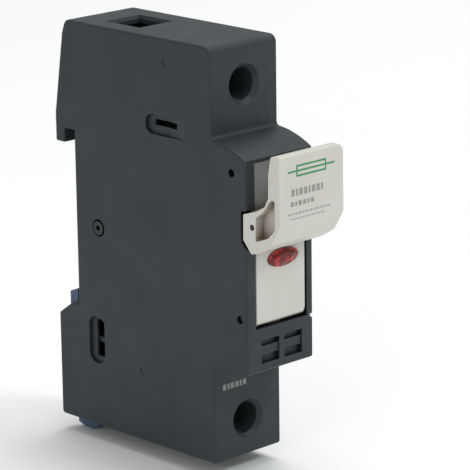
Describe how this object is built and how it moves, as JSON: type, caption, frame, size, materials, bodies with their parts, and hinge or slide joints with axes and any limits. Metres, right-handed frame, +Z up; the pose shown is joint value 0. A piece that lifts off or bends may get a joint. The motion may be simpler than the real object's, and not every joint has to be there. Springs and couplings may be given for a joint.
{
  "type": "modular fuse carrier",
  "caption": "Rail-mounted fuse carrier with a tilting front, grip plate, indicator window, screw terminals and a sliding rail latch, holding a cylindrical fuse.",
  "frame": {"origin": "centre of the 35 mm mounting rail, on the plane where the rail's lips rest against the housing", "axes": "+X to the module's right side, -Y out of the front, +Y into the rail, +Z up"},
  "size_m": [0.0176, 0.0622, 0.0834],
  "materials": {
    "housing": "fine spark-eroded texture",
    "carrier": "satin moulded",
    "cradle": "smooth moulded, a little glossier than the housing",
    "lens": "translucent red",
    "board": "solder mask over glass fibre",
    "led": "clear epoxy",
    "resistor": "glazed",
    "ceramic": "unglazed steatite",
    "cap_metal": "nickel-plated brass",
    "silver": "silver strip",
    "sand": "quartz sand",
    "copper_tin": "tinned copper",
    "spring_steel": "plain steel",
    "zinc_steel": "zinc-plated steel",
    "latch": "satin moulded"
  },
  "bodies": {
    "housing": {"left_housing": "housing", "right_cover": "housing", "upper_contact": "copper_tin", "lower_contact": "copper_tin", "upper_jaw_spring": "spring_steel", "lower_jaw_spring": "spring_steel", "clip_spring": "spring_steel"},
    "carrier": {"carrier_front": "carrier", "fuse_cradle": "cradle", "indicator_lens": "lens", "indicator_board": "board", "indicator_led": "led", "indicator_resistors": "resistor", "indicator_spring_upper": "spring_steel", "indicator_spring_lower": "spring_steel", "fuse_tube": "ceramic", "fuse_cap_upper": "cap_metal", "fuse_cap_lower": "cap_metal", "fuse_element": "silver", "fuse_sand": "sand"},
    "rail_latch": {"din_clip": "latch"},
    "upper_terminal_screw": {"upper_screw": "zinc_steel"},
    "upper_terminal_cage": {"upper_cage": "zinc_steel"},
    "lower_terminal_screw": {"lower_screw": "zinc_steel"},
    "lower_terminal_cage": {"lower_cage": "zinc_steel"}
  },
  "joints": [
    {"name": "carrier_tilt", "type": "hinge", "parent": "housing", "child": "carrier", "pos_m": [0, -0.0457, -0.0112], "axis": [1, 0, 0], "range_deg": [0, 85]},
    {"name": "latch_slide", "type": "slide", "parent": "housing", "child": "rail_latch", "axis": [0, 0, -1], "range_m": [0, 0.0035], "stiffness_N_per_m": 900, "springref_m": -0.001, "deforming": ["clip_spring"]},
    {"name": "upper_screw_turn", "type": "hinge", "parent": "housing", "child": "upper_terminal_screw", "pos_m": [0, -0.03, 0.031], "axis": [0, 1, 0], "range_deg": [0, 3600]},
    {"name": "upper_cage_rise", "type": "slide", "parent": "housing", "child": "upper_terminal_cage", "axis": [0, -1, 0], "range_m": [0, 0.008]},
    {"name": "lower_screw_turn", "type": "hinge", "parent": "housing", "child": "lower_terminal_screw", "pos_m": [0, -0.03, -0.0342], "axis": [0, 1, 0], "range_deg": [0, 3600]},
    {"name": "lower_cage_rise", "type": "slide", "parent": "housing", "child": "lower_terminal_cage", "axis": [0, -1, 0], "range_m": [0, 0.008]}
  ],
  "couplings": [
    {"joint": "upper_screw_turn", "follows": "upper_cage_rise", "rad_per_m": 7854},
    {"joint": "lower_screw_turn", "follows": "lower_cage_rise", "rad_per_m": 7854}
  ]
}
